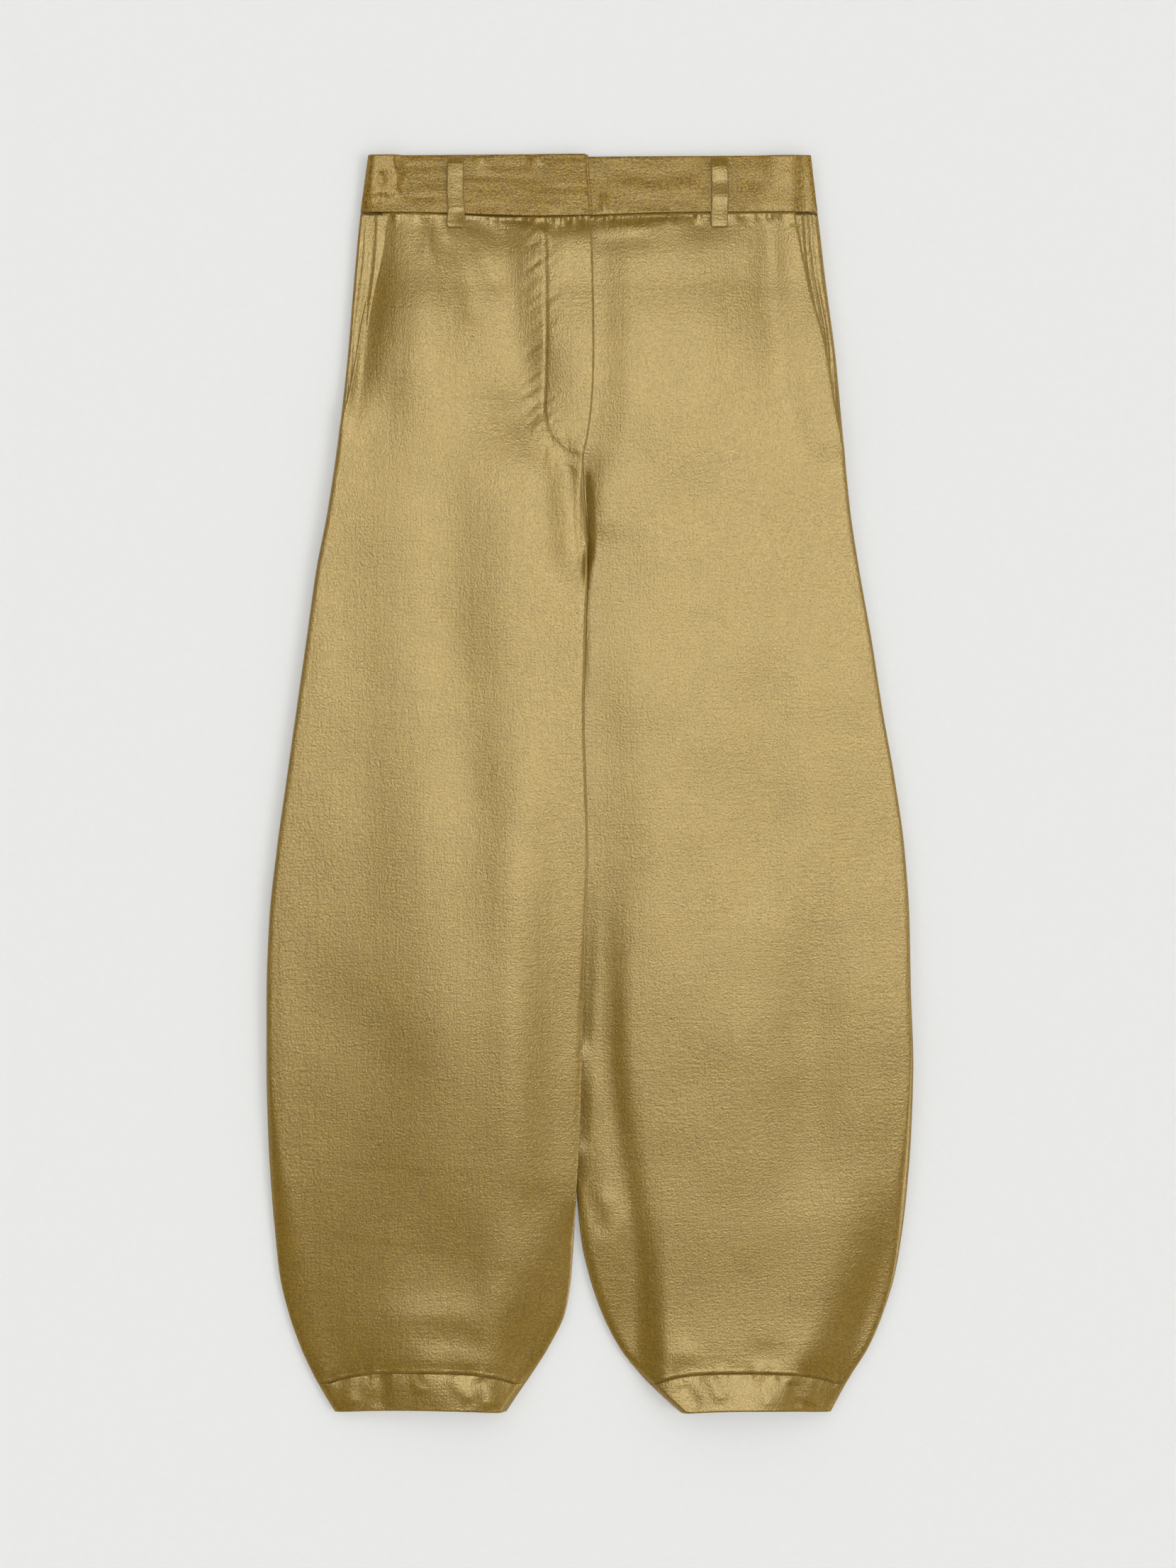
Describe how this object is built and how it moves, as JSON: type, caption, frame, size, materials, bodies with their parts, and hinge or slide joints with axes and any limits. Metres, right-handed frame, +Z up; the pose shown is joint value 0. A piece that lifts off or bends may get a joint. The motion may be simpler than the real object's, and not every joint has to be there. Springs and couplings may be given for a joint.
{
  "type": "barrel-leg trousers laid flat",
  "caption": "Satin trousers laid flat, front up: high waistband with belt loops, lapped fly, slanted pockets, full legs that bow outwards and narrow to deep stitched hems.",
  "frame": {"origin": "on the surface the trousers lie on, under the middle of their outline", "axes": "+X towards the wearer's left leg, +Y from the hems towards the waistband, +Z up from the surface"},
  "size_m": [0.5388, 1.048, 0.0091],
  "materials": {
    "cloth": "soft golden-olive satin with a low sheen",
    "waistband_cloth": "the same satin cut across the grain, so it looks darker"
  },
  "bodies": {
    "root": {"front_right": "cloth", "front_left": "cloth", "back_right": "cloth", "back_left": "cloth", "pocket_facing_right": "cloth", "pocket_facing_left": "cloth", "hem_front_right": "cloth", "hem_front_left": "cloth", "hem_back_right": "cloth", "hem_back_left": "cloth", "waistband_front_right": "waistband_cloth", "waistband_front_left": "waistband_cloth", "waistband_back": "waistband_cloth", "belt_loop_front_right": "cloth", "belt_loop_front_left": "cloth", "belt_loop_back_right": "cloth", "belt_loop_back_centre": "cloth", "belt_loop_back_left": "cloth"}
  },
  "joints": []
}
